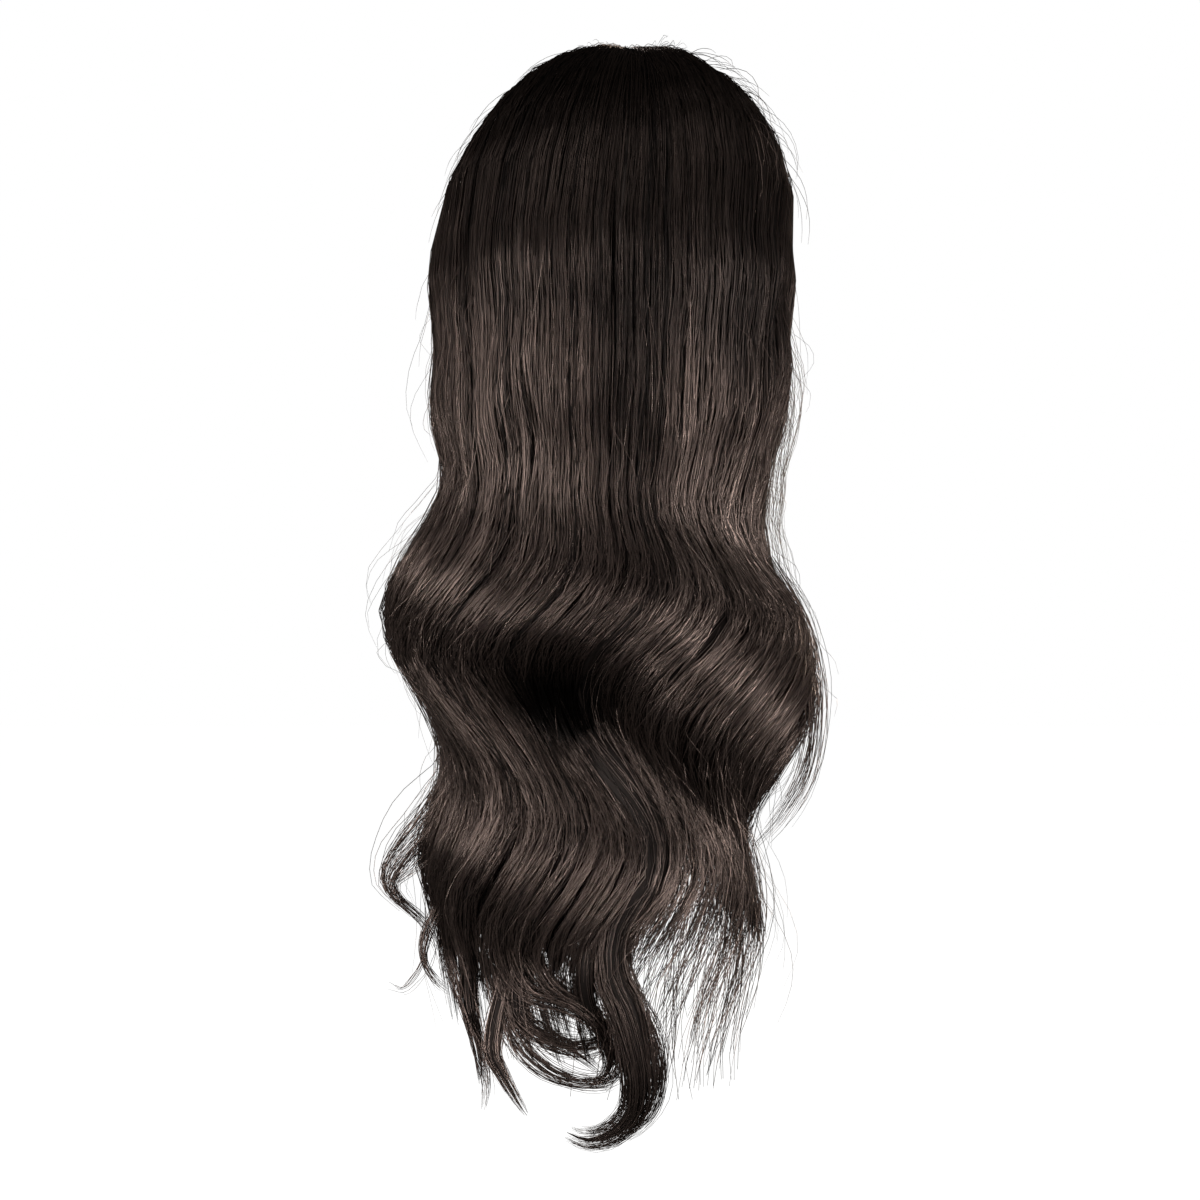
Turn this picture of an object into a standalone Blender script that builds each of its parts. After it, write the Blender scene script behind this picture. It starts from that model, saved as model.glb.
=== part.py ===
"""A long wavy lace front wig, held up as a head holds it.

The cap is a sewn dome in three pieces: a lace front, a weft cap and a nape band.
The hair is a curtain that starts at the parting, lies over the cap and hangs to
wavy tips. It is cut into six sections, each one solid with three locks.
Metres, +Z up. The face looks along -Y, and the origin is where the crown of the
head meets the inside of the cap.
"""

import math
from collections import namedtuple

import bmesh
import bpy
from mathutils import Vector

# Head hollow and cap
HEAD_HALF_WIDTH = 0.078
HEAD_HALF_LENGTH = 0.099
CROWN_RISE = 0.100
LOWER_HEAD_REACH = 0.160
NAPE_DROP = 0.165
CAP_WALL = 0.0012
LACE_WALL = 0.0010
BAND_HEIGHT = 0.014
SEAM_GAP = 0.0004
SEAM_SLOPE = math.radians(14)
SEAM_OFFSET = 0.004

# Parting and roots
HAIR_CLEARANCE = 0.0010
PART_OFFSET = -0.008
PART_GAP = 0.0012
PART_FRONT_ANGLE = math.radians(51)
PART_CROWN_ANGLE = math.radians(12)
HAIRLINE_ARCH = 0.12
TEMPLE_ANGLE = math.radians(126)
ROOT_HAIR_FRONT = 0.0030
ROOT_HAIR_CROWN = 0.0080
ROOT_THINNING = 1.4
ROOT_SPAN = 0.22

# Hair over the cap
CROWN_HAIR = 0.0070
CROWN_LEAN = 0.36
SIDE_HAIR = 0.0205
BACK_HAIR = 0.0225
FRONT_EDGE_SHARE = 0.55
FRONT_EDGE_START = 0.7

# Hair that hangs below the widest level of the head
HAIR_DROP = 0.585
FALL_HALF_WIDTH = 0.105
FALL_BACK_REACH = 0.113
FALL_FRONT_REACH = 0.104
FALL_WALL = 0.034
FALL_LEAN = 0.010
FALL_BLEND = 0.125
SPLIT_SHARE = 0.74

# Body wave
WAVE_LENGTH = 0.148
WAVE_BULGE = 0.0150
WAVE_SWAY = 0.0220
WAVE_DRIFT = 0.0170
CREST_DROP = 0.310
CREST_SLANT = 0.036
CREST_BOW = 0.024

# Locks
LOCK_GAP = 0.0005
GROOVE_SHARE = 0.10
TIP_WIDTH_SHARE = 0.16
TIP_WALL_SHARE = 0.26
TIP_POINTING = 2

# Mesh fineness
CAP_COLUMNS = 40
CAP_ROWS = 9
BAND_ROWS = 1
COLUMNS_PER_LOCK = 3
HEAD_ROWS = 8
FALL_ROWS = 18
TIP_ROWS = 6
TAIL_STEPS = 14
TAIL_SIDES = 8

HAIR_COLOUR = (0.021, 0.015, 0.012, 1.0)
LACE_COLOUR = (0.30, 0.19, 0.13, 1.0)
NET_COLOUR = (0.030, 0.022, 0.018, 1.0)
HAIR_ROUGHNESS = 0.38
LACE_ROUGHNESS = 0.85
NET_ROUGHNESS = 0.80

# Cap edge, from the forehead round to the nape: angle from the front, and drop
# below the crown as a share of NAPE_DROP
RimPoint = namedtuple("RimPoint", "angle drop")
RIM = (
    RimPoint(0, 0.285),
    RimPoint(22, 0.375),
    RimPoint(42, 0.540),
    RimPoint(56, 0.680),
    RimPoint(68, 0.770),
    RimPoint(84, 0.690),
    RimPoint(102, 0.680),
    RimPoint(122, 0.820),
    RimPoint(150, 0.980),
    RimPoint(180, 1.000),
)

# Curtain of hair below the head: depth between the head's widest level, 0, and
# HAIR_DROP, 1, then shares of the FALL_ sizes, and of the wave
Level = namedtuple("Level", "drop side back front wall lean wave")
FALL_LEVELS = (
    Level(0.00, 0.960, 1.050, 0.970, 0.70, 0.00, 0.00),
    Level(0.13, 0.962, 1.030, 0.950, 0.75, 0.20, 0.00),
    Level(0.26, 0.880, 0.960, 0.900, 0.90, 0.40, 0.05),
    Level(0.31, 0.916, 0.960, 0.930, 0.95, 1.10, 0.35),
    Level(0.36, 1.010, 0.980, 1.000, 1.00, 0.85, 0.65),
    Level(0.41, 1.054, 1.000, 1.020, 1.00, 0.35, 0.90),
    Level(0.47, 1.034, 1.000, 1.020, 1.00, 0.85, 1.00),
    Level(0.52, 1.016, 0.990, 1.000, 1.00, 0.95, 1.00),
    Level(0.57, 0.971, 0.970, 0.980, 0.95, 0.90, 1.00),
    Level(0.63, 0.925, 0.950, 0.950, 0.90, 0.45, 1.00),
    Level(0.74, 0.855, 0.930, 0.900, 0.75, 0.70, 0.75),
    Level(0.83, 0.880, 0.890, 0.880, 0.55, 1.25, 0.40),
    Level(1.00, 0.840, 0.850, 0.850, 0.35, 1.20, 0.25),
)

# Sections, from one temple round the back to the other. around is -1 at the
# wearer's right temple, 0 at the back and 1 at the left. The locks end at tips, as
# shares of HAIR_DROP.
Section = namedtuple("Section", "name start end tips")
SECTIONS = (
    Section("right_front_hair", -1.00, -0.64, (0.77, 0.79, 0.80)),
    Section("right_side_hair", -0.64, -0.28, (0.80, 0.80, 0.78)),
    Section("back_right_hair", -0.28, 0.00, (0.78, 0.84, 0.88)),
    Section("back_left_hair", 0.00, 0.28, (0.88, 0.88, 0.88)),
    Section("left_side_hair", 0.28, 0.64, (0.87, 0.85, 0.83)),
    Section("left_front_hair", 0.64, 1.00, (0.82, 0.81, 0.80)),
)

# Curled tail locks, each fused to a section. root is (around, share of
# HAIR_DROP), and the course is followed from there: shares of the length to the
# wearer's left, down and back, then a share of the girth.
TailLock = namedtuple("TailLock", "name section root length girth course")
Turn = namedtuple("Turn", "across down back girth")
TAIL_LOCKS = (
    TailLock(
        "large_curl",
        "back_right_hair",
        (-0.085, 0.79),
        0.117,
        0.0114,
        (
            Turn(0.00, 0.00, 0.00, 0.70),
            Turn(0.03, 0.21, -0.01, 0.95),
            Turn(-0.03, 0.36, -0.02, 1.00),
            Turn(-0.07, 0.54, -0.03, 0.91),
            Turn(-0.09, 0.72, -0.06, 0.86),
            Turn(-0.06, 0.86, -0.11, 0.73),
            Turn(0.03, 0.96, -0.16, 0.59),
            Turn(0.14, 1.00, -0.21, 0.41),
            Turn(0.23, 0.97, -0.23, 0.18),
        ),
    ),
    TailLock(
        "inner_curl",
        "back_right_hair",
        (-0.04, 0.80),
        0.080,
        0.0056,
        (
            Turn(0.00, 0.00, 0.00, 1.00),
            Turn(0.05, 0.26, -0.02, 1.00),
            Turn(0.02, 0.51, -0.14, 1.00),
            Turn(-0.09, 0.75, -0.22, 0.90),
            Turn(-0.11, 0.90, -0.24, 0.70),
            Turn(-0.02, 1.00, -0.24, 0.50),
            Turn(0.07, 0.96, -0.23, 0.30),
        ),
    ),
    TailLock(
        "bridge_lock",
        "back_left_hair",
        (0.12, 0.82),
        0.067,
        0.0066,
        (
            Turn(0.00, 0.00, 0.00, 1.00),
            Turn(0.07, 0.49, -0.03, 1.00),
            Turn(-0.17, 0.69, -0.12, 0.83),
            Turn(-0.40, 0.84, -0.22, 0.58),
            Turn(-0.58, 1.00, -0.30, 0.33),
        ),
    ),
    TailLock(
        "centre_tail",
        "back_left_hair",
        (0.18, 0.835),
        0.078,
        0.0060,
        (
            Turn(0.00, 0.00, 0.00, 1.00),
            Turn(0.12, 0.51, 0.07, 1.00),
            Turn(0.05, 0.71, 0.09, 0.70),
            Turn(-0.04, 0.87, 0.09, 0.50),
            Turn(-0.12, 1.00, 0.07, 0.30),
        ),
    ),
    TailLock(
        "left_tail",
        "left_side_hair",
        (0.35, 0.83),
        0.070,
        0.0056,
        (
            Turn(0.00, 0.00, 0.00, 1.00),
            Turn(0.00, 0.36, 0.12, 1.00),
            Turn(-0.05, 0.59, 0.12, 0.78),
            Turn(-0.09, 0.83, 0.09, 0.56),
            Turn(-0.09, 1.00, 0.06, 0.28),
        ),
    ),
)


def smooth(value):
    """0 below 0, 1 above 1, and an even ease between."""
    share = min(1.0, max(0.0, value))
    return share * share * (3 - 2 * share)


def mix(start, end, share):
    return start + (end - start) * share


def read_table(rows, key, at):
    """The row of a table at a place between two of its rows, as the same tuple."""
    keys = [getattr(row, key) for row in rows]
    at = min(max(at, keys[0]), keys[-1])
    upper = next(n for n in range(1, len(rows)) if at <= keys[n])
    share = (at - keys[upper - 1]) / (keys[upper] - keys[upper - 1])
    eased = mix(share, smooth(share), 0.5)
    return type(rows[0])(*(mix(a, b, eased) for a, b in zip(rows[upper - 1], rows[upper])))


def head_width_share(z):
    """Share of the head's widest half width that is left at a height below it."""
    below = -CROWN_RISE - z
    return math.sqrt(max(0.0, 1 - (below / LOWER_HEAD_REACH) ** 2))


def head_point(direction, clearance):
    """A point on the head, grown by a clearance, in a direction from its middle."""
    rise = CROWN_RISE if direction.z > 0 else LOWER_HEAD_REACH
    return Vector(
        (
            (HEAD_HALF_WIDTH + clearance) * direction.x,
            (HEAD_HALF_LENGTH + clearance) * direction.y,
            (rise + clearance) * direction.z - CROWN_RISE,
        )
    )


def rim_direction(angle):
    """Direction from the head's middle to the cap's edge, at an angle from the front."""
    turned = abs(math.degrees(angle))
    height = CROWN_RISE - read_table(RIM, "angle", min(turned, 360 - turned)).drop * NAPE_DROP
    rise = height / (CROWN_RISE if height > 0 else LOWER_HEAD_REACH)
    level = math.sqrt(1 - rise * rise)
    return Vector((math.sin(angle) * level, -math.cos(angle) * level, rise))


def cap_sheet(top_share, bottom_share, rows):
    """Part of the cap's inner face: shares run from the crown, 0, to the edge, 1."""
    bm = bmesh.new()
    bmesh.ops.create_grid(bm, x_segments=CAP_COLUMNS, y_segments=rows, size=0.5)
    crown = Vector((0, 0, 1))
    for vert in bm.verts:
        angle = (vert.co.x + 0.5) * 2 * math.pi
        share = mix(bottom_share, top_share, vert.co.y + 0.5)
        edge = rim_direction(angle)
        sweep = crown.angle(edge) * share
        side = (edge - crown * edge.z).normalized()
        vert.co = head_point(crown * math.cos(sweep) + side * math.sin(sweep), 0)
    bmesh.ops.remove_doubles(bm, verts=bm.verts, dist=1e-6)
    bmesh.ops.recalc_face_normals(bm, faces=bm.faces)
    if sum(face.normal.dot(face.calc_center_median()) for face in bm.faces) < 0:
        bmesh.ops.reverse_faces(bm, faces=bm.faces)
    return bm


def cut_at_ears(bm, keep_front):
    """Keeps the part of a cap sheet before or behind the seam over the ears."""
    normal = Vector((0, -math.cos(SEAM_SLOPE), math.sin(SEAM_SLOPE)))
    inset = SEAM_GAP / 2 if keep_front else -SEAM_GAP / 2
    bmesh.ops.bisect_plane(
        bm,
        geom=bm.verts[:] + bm.edges[:] + bm.faces[:],
        dist=1e-6,
        plane_co=Vector((0, SEAM_OFFSET, 0)) + normal * inset,
        plane_no=normal,
        clear_inner=keep_front,
        clear_outer=not keep_front,
    )


def add_object(name, bm, material):
    """Makes an object of a finished bmesh, with smooth faces and its material."""
    mesh = bpy.data.meshes.new(name)
    bm.to_mesh(mesh)
    bm.free()
    mesh.shade_smooth()
    mesh.materials.append(material)
    made = bpy.data.objects.new(name, mesh)
    bpy.context.scene.collection.objects.link(made)
    return made


def add_wall(made, thickness):
    """Thickens a sheet outwards."""
    wall = made.modifiers.new("wall", "SOLIDIFY")
    wall.thickness = thickness
    wall.offset = 1
    wall.use_even_offset = True


def make_material(name, colour, roughness):
    material = bpy.data.materials.new(name)
    material.use_nodes = True
    shader = material.node_tree.nodes["Principled BSDF"]
    shader.inputs["Base Color"].default_value = colour
    shader.inputs["Roughness"].default_value = roughness
    shader.inputs["Metallic"].default_value = 0
    material.diffuse_color = colour
    return material


def make_cap(lace, net):
    """The lace front, the weft cap behind it and the nape band under that."""
    band_share = BAND_HEIGHT / (CROWN_RISE + NAPE_DROP)
    front = cap_sheet(0, 1, CAP_ROWS)
    cut_at_ears(front, keep_front=True)
    add_wall(add_object("lace_front", front, lace), LACE_WALL)

    gap_share = SEAM_GAP / (CROWN_RISE + NAPE_DROP)
    dome = cap_sheet(0, 1 - band_share - gap_share, CAP_ROWS)
    cut_at_ears(dome, keep_front=False)
    add_wall(add_object("weft_cap", dome, net), CAP_WALL)

    band = cap_sheet(1 - band_share, 1, BAND_ROWS)
    cut_at_ears(band, keep_front=False)
    add_wall(add_object("nape_band", band, net), CAP_WALL)


def front_thinning(around):
    """Share of the hair's thickness that is left towards the front edges."""
    edge = smooth((abs(around) - FRONT_EDGE_START) / (1 - FRONT_EDGE_START))
    return mix(1, FRONT_EDGE_SHARE, edge)


def ring_wall(around):
    """Thickness of the hair at the head's widest level."""
    sideways = math.sin(around * TEMPLE_ANGLE) ** 2
    return mix(BACK_HAIR, SIDE_HAIR, sideways) * front_thinning(around)


def head_hair_point(around, share, depth, half):
    """A point in the hair over the cap. share runs from the parting, 0, to the head's
    widest level, 1, and depth from the cap, 0, to the outside, 1. half is 1 on the
    wearer's left of the parting and -1 on the right."""
    angle = mix(PART_CROWN_ANGLE, -PART_FRONT_ANGLE, abs(around))
    beside = (PART_OFFSET + half * PART_GAP / 2) / HEAD_HALF_WIDTH
    level = math.sqrt(1 - beside * beside)
    root = Vector((beside, math.sin(angle) * level, math.cos(angle) * level))
    turn = around * TEMPLE_ANGLE
    ring = Vector((math.sin(turn), math.cos(turn), 0))
    direction = root.slerp(ring, share)
    direction.z += HAIRLINE_ARCH * math.sin(math.pi * share) * around**4
    direction.normalize()
    root_wall = mix(ROOT_HAIR_CROWN, ROOT_HAIR_FRONT, smooth(abs(around) * ROOT_THINNING))
    wall = mix(CROWN_HAIR, ring_wall(around), math.sin(share * math.pi / 2))
    wall *= 1 - CROWN_LEAN * 2 * direction.x * direction.z
    wall = mix(root_wall, wall, smooth(share / ROOT_SPAN))
    return head_point(direction, CAP_WALL + HAIR_CLEARANCE + wall * depth)


def wave(around, z, grown):
    """How far the body wave moves the hair outwards, and round to the wearer's left."""
    crest = CREST_DROP - CREST_SLANT * around + CREST_BOW * around**2
    phase = 2 * math.pi * (-z - crest) / WAVE_LENGTH
    drift = WAVE_DRIFT * (1 - around**2)
    return WAVE_BULGE * grown * math.cos(phase), grown * (WAVE_SWAY * math.sin(phase) + drift)


def fall_point(around, z, depth):
    """A point in the hair that hangs below the head's widest level."""
    level = read_table(FALL_LEVELS, "drop", (-z - CROWN_RISE) / (HAIR_DROP - CROWN_RISE))
    hung = smooth((-z - CROWN_RISE) / FALL_BLEND)
    bulge, sway = wave(around, z, level.wave)
    turn = around * TEMPLE_ANGLE + sway / FALL_HALF_WIDTH
    wall = mix(ring_wall(around), FALL_WALL * level.wall * front_thinning(around), hung)
    behind = FALL_BACK_REACH * level.back
    before = FALL_FRONT_REACH * level.front
    reaches = (
        (HEAD_HALF_WIDTH, FALL_HALF_WIDTH * level.side),
        (HEAD_HALF_LENGTH, behind if math.cos(turn) > 0 else before),
    )
    placed = []
    for half_head, reach in reaches:
        cover = CAP_WALL + HAIR_CLEARANCE
        outer = mix(half_head + cover + ring_wall(around), reach, hung)
        hug = half_head * head_width_share(z) + cover
        inner = max(outer - wall, hug)
        outer = max(outer, inner + ROOT_HAIR_FRONT)
        placed.append(mix(inner, outer, depth) + bulge)
    shift = FALL_LEAN * level.lean * hung * math.sin(turn) ** 2
    return Vector((shift + placed[0] * math.sin(turn), placed[1] * math.cos(turn), z))


def section_grid(locks):
    """A closed slab of unit size for a section, with its locks split at the tips. x
    runs round the head, y from the tips, 0, to the roots, 1, and z outwards."""
    columns = locks * COLUMNS_PER_LOCK
    rows = HEAD_ROWS + FALL_ROWS + TIP_ROWS
    bm = bmesh.new()
    bmesh.ops.create_grid(bm, x_segments=columns, y_segments=rows, size=0.5)
    bmesh.ops.translate(bm, verts=bm.verts, vec=(0.5, 0.5, 0))
    split_height = TIP_ROWS / rows + 0.1 / rows
    cuts = [
        edge
        for edge in bm.edges
        for n in range(1, locks)
        if all(abs(v.co.x - n / locks) < 0.1 / columns and v.co.y < split_height for v in edge.verts)
    ]
    bmesh.ops.split_edges(bm, edges=cuts)
    outer = bmesh.ops.extrude_face_region(bm, geom=bm.faces[:])["geom"]
    lifted = [item for item in outer if isinstance(item, bmesh.types.BMVert)]
    bmesh.ops.translate(bm, verts=lifted, vec=(0, 0, 1))
    bm.normal_update()
    return bm


def place_in_hair(section, spot, lean):
    """Where a spot of the unit slab lies in the hair. lean says on which side of the
    spot its lock lies."""
    rows = HEAD_ROWS + FALL_ROWS + TIP_ROWS
    row = round((1 - spot.y) * rows)
    locks = len(section.tips)
    lock = min(locks - 1, max(0, math.floor(spot.x * locks + 0.5 * lean)))
    middle = (lock + 0.5) / locks
    on_border = abs(spot.x * locks - round(spot.x * locks)) < 0.01
    depth = spot.z * (1 - GROOVE_SHARE) if on_border else spot.z
    across = spot.x
    share_down = max(0, row - HEAD_ROWS - FALL_ROWS) / TIP_ROWS
    if share_down > 0:
        pointed = share_down**TIP_POINTING
        across = mix(middle, across, mix(1, TIP_WIDTH_SHARE, pointed))
        depth = mix(0.5, depth, mix(1, TIP_WALL_SHARE, pointed))
    around = mix(section.start, section.end, across)
    inset = LOCK_GAP / 2 / (HEAD_HALF_LENGTH * (PART_FRONT_ANGLE + PART_CROWN_ANGLE))
    around += inset * (1 - 2 * spot.x)
    half = 1 if section.start >= 0 else -1
    if row < HEAD_ROWS:
        return head_hair_point(around, row / HEAD_ROWS, depth, half)
    if row <= HEAD_ROWS + FALL_ROWS:
        z = -mix(CROWN_RISE, HAIR_DROP * SPLIT_SHARE, (row - HEAD_ROWS) / FALL_ROWS)
    else:
        z = -HAIR_DROP * mix(SPLIT_SHARE, section.tips[lock], share_down)
    return fall_point(around, z, depth)


def make_section(section, material):
    """One section of hair, bent from a unit slab into its place."""
    bm = section_grid(len(section.tips))
    sides = [face for face in bm.faces if abs(face.normal.x) > 0.5]
    placed = {}
    for vert in bm.verts:
        beside = sum(face.calc_center_median().x for face in vert.link_faces)
        lean = beside / len(vert.link_faces) - vert.co.x
        lean = 0 if abs(lean) < 1e-4 else math.copysign(1, lean)
        placed[vert] = place_in_hair(section, vert.co, lean)
    for vert, place in placed.items():
        vert.co = place
    bmesh.ops.triangulate(bm, faces=sides, quad_method="SHORT_EDGE")
    bmesh.ops.recalc_face_normals(bm, faces=bm.faces)
    return add_object(section.name, bm, material)


def smooth_course(points, steps):
    """Even steps along a Catmull-Rom curve through points of any length."""
    ends = [points[0] * 2 - points[1], *points, points[-1] * 2 - points[-2]]
    found = []
    for n in range(steps + 1):
        place = n / steps * (len(points) - 1)
        span = min(int(place), len(points) - 2)
        t = place - span
        a, b, c, d = ends[span : span + 4]
        found.append(
            0.5 * (2 * b + (c - a) * t + (2 * a - 5 * b + 4 * c - d) * t**2 + (3 * b - a - 3 * c + d) * t**3)
        )
    return found


def make_tail_lock(tail, sections, material):
    """A curled lock that grows out of a section and is fused to it."""
    around, drop = tail.root
    root = fall_point(around, -HAIR_DROP * drop, 0.5)
    points = [
        Vector((*(root + tail.length * Vector((turn.across, turn.back, -turn.down))), turn.girth))
        for turn in tail.course
    ]
    course = smooth_course(points, TAIL_STEPS)
    data = bpy.data.curves.new(tail.name + "_line", "CURVE")
    data.dimensions = "3D"
    data.bevel_depth = tail.girth
    data.bevel_resolution = TAIL_SIDES // 2 - 2
    data.use_fill_caps = True
    line = data.splines.new("POLY")
    line.points.add(len(course) - 1)
    for point, place in zip(line.points, course):
        point.co = (*place[:3], 1)
        point.radius = place[3]
    guide = bpy.data.objects.new(tail.name + "_guide", data)
    bpy.context.scene.collection.objects.link(guide)
    bpy.context.view_layer.update()
    solid = bpy.data.meshes.new_from_object(guide.evaluated_get(bpy.context.evaluated_depsgraph_get()))
    bpy.data.objects.remove(guide)
    bm = bmesh.new()
    bm.from_mesh(solid)
    bmesh.ops.remove_doubles(bm, verts=bm.verts, dist=1e-6)
    bmesh.ops.recalc_face_normals(bm, faces=bm.faces)
    lock = add_object(tail.name, bm, material)
    lock.hide_render = True
    lock.display_type = "WIRE"
    fuse = sections[tail.section].modifiers.new(tail.name, "BOOLEAN")
    fuse.operation = "UNION"
    fuse.solver = "EXACT"
    fuse.object = lock


def main():
    for old in list(bpy.data.objects):
        bpy.data.objects.remove(old)
    hair = make_material("hair", HAIR_COLOUR, HAIR_ROUGHNESS)
    lace = make_material("lace", LACE_COLOUR, LACE_ROUGHNESS)
    net = make_material("cap_net", NET_COLOUR, NET_ROUGHNESS)
    make_cap(lace, net)
    sections = {section.name: make_section(section, hair) for section in SECTIONS}
    for tail in TAIL_LOCKS:
        make_tail_lock(tail, sections, hair)


main()
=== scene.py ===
"""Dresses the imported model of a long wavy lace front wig.

Every hair section gets a dark core and a few hundred strands that lie in the same
bends as the solid. Curled locks, wisps, thin ends and single hairs are strands too.
The cap keeps its solids and gets lace, net and elastic finishes.
"""

import math
from collections import namedtuple

import bmesh
import bpy
import numpy as np
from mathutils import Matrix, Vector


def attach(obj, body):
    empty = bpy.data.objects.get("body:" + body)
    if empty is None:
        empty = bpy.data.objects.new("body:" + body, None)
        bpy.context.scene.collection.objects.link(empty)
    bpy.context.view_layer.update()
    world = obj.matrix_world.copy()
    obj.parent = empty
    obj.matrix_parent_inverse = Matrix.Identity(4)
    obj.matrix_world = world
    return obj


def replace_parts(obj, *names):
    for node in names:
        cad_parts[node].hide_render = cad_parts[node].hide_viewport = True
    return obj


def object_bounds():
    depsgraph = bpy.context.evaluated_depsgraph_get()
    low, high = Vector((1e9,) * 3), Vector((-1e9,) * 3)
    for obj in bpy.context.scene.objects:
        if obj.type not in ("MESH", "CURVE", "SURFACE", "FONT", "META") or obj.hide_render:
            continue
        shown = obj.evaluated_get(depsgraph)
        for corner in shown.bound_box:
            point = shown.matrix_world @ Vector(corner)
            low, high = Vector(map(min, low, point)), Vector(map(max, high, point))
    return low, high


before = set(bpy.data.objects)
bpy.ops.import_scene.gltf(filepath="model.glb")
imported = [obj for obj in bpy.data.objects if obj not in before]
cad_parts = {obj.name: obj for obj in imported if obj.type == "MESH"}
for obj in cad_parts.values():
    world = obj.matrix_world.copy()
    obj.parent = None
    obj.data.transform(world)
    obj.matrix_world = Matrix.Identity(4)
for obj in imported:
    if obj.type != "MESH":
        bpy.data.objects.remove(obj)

bl_info = {
    "name": "Long Wavy Wig",
    "version": (1, 0, 0),
    "blender": (4, 5, 0),
    "location": "3D View > Sidebar > Wig",
    "description": "Strands, cap finishes and studio for a lace front wig",
    "category": "Object",
}

CAD_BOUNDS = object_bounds()

# Head hollow and cap, as in the model
HEAD_HALF_WIDTH = 0.078
HEAD_HALF_LENGTH = 0.099
CROWN_RISE = 0.100
LOWER_HEAD_REACH = 0.160
COVER = 0.0022

# Parting and roots, as in the model
PART_OFFSET = -0.008
PART_GAP = 0.0012
PART_FRONT_ANGLE = math.radians(51)
PART_CROWN_ANGLE = math.radians(12)
HAIRLINE_ARCH = 0.12
TEMPLE_ANGLE = math.radians(126)
ROOT_HAIR_FRONT = 0.0030
ROOT_HAIR_CROWN = 0.0080
ROOT_THINNING = 1.4
ROOT_SPAN = 0.22

# Hair over the cap and below it, as in the model
CROWN_HAIR = 0.0070
CROWN_LEAN = 0.36
SIDE_HAIR = 0.0205
BACK_HAIR = 0.0225
FRONT_EDGE_SHARE = 0.55
FRONT_EDGE_START = 0.7
HAIR_DROP = 0.585
FALL_HALF_WIDTH = 0.105
FALL_BACK_REACH = 0.113
FALL_FRONT_REACH = 0.104
FALL_WALL = 0.034
FALL_LEAN = 0.010
FALL_BLEND = 0.125

# Body wave, as in the model
WAVE_LENGTH = 0.148
WAVE_BULGE = 0.0150
WAVE_SWAY = 0.0220
WAVE_DRIFT = 0.0170
CREST_DROP = 0.310
CREST_SLANT = 0.036
CREST_BOW = 0.024

# The curtain below the head, as in the model
Level = namedtuple("Level", "drop side back front wall lean wave")
FALL_LEVELS = (
    Level(0.00, 0.960, 1.050, 0.970, 0.70, 0.00, 0.00),
    Level(0.13, 0.962, 1.030, 0.950, 0.75, 0.20, 0.00),
    Level(0.26, 0.880, 0.960, 0.900, 0.90, 0.40, 0.05),
    Level(0.31, 0.916, 0.960, 0.930, 0.95, 1.10, 0.35),
    Level(0.36, 1.010, 0.980, 1.000, 1.00, 0.85, 0.65),
    Level(0.41, 1.054, 1.000, 1.020, 1.00, 0.35, 0.90),
    Level(0.47, 1.034, 1.000, 1.020, 1.00, 0.85, 1.00),
    Level(0.52, 1.016, 0.990, 1.000, 1.00, 0.95, 1.00),
    Level(0.57, 0.971, 0.970, 0.980, 0.95, 0.90, 1.00),
    Level(0.63, 0.925, 0.950, 0.950, 0.90, 0.45, 1.00),
    Level(0.74, 0.855, 0.930, 0.900, 0.75, 0.70, 0.75),
    Level(0.83, 0.880, 0.890, 0.880, 0.55, 1.25, 0.40),
    Level(1.00, 0.840, 0.850, 0.850, 0.35, 1.20, 0.25),
)
LEVEL_SMOOTHING = 13

# Sections from one temple round the back to the other, as in the model
Section = namedtuple("Section", "name start end tips")
SECTIONS = (
    Section("right_front_hair", -1.00, -0.64, (0.77, 0.79, 0.80)),
    Section("right_side_hair", -0.64, -0.28, (0.80, 0.80, 0.78)),
    Section("back_right_hair", -0.28, 0.00, (0.78, 0.84, 0.88)),
    Section("back_left_hair", 0.00, 0.28, (0.88, 0.88, 0.88)),
    Section("left_side_hair", 0.28, 0.64, (0.87, 0.85, 0.83)),
    Section("left_front_hair", 0.64, 1.00, (0.82, 0.81, 0.80)),
)

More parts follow.
